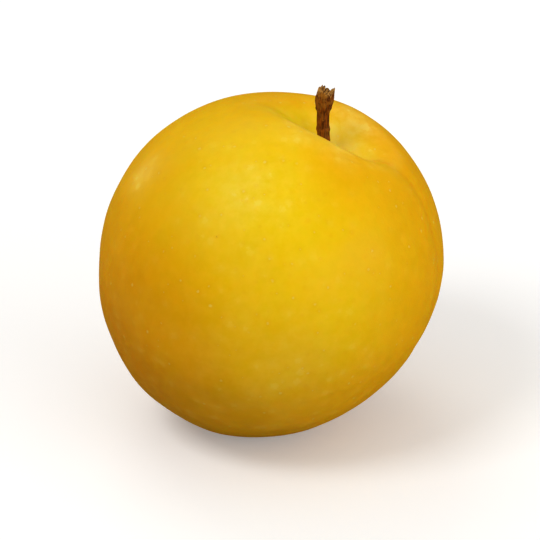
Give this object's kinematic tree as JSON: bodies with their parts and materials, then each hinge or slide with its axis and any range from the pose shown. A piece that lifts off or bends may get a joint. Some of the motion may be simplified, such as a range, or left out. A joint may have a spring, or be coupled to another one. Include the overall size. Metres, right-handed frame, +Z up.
{
  "type": "plum",
  "caption": "Round yellow plum with a stem cavity, a shallow seam and a short woody stem, resting on a small flat spot.",
  "frame": {"origin": "middle of the small flat spot on the underside that the fruit rests on", "axes": "+Z up from the surface it lies on; the fruit's own axis leans 26 degrees from +Z towards +X, while the stem stands upright; the seam faces 14 degrees from +X towards -Y"},
  "size_m": [0.0496, 0.0513, 0.0531],
  "materials": {
    "plum_skin": "satin",
    "plum_stem": "matte"
  },
  "bodies": {
    "root": {"fruit": "plum_skin", "stem": "plum_stem"}
  },
  "joints": []
}
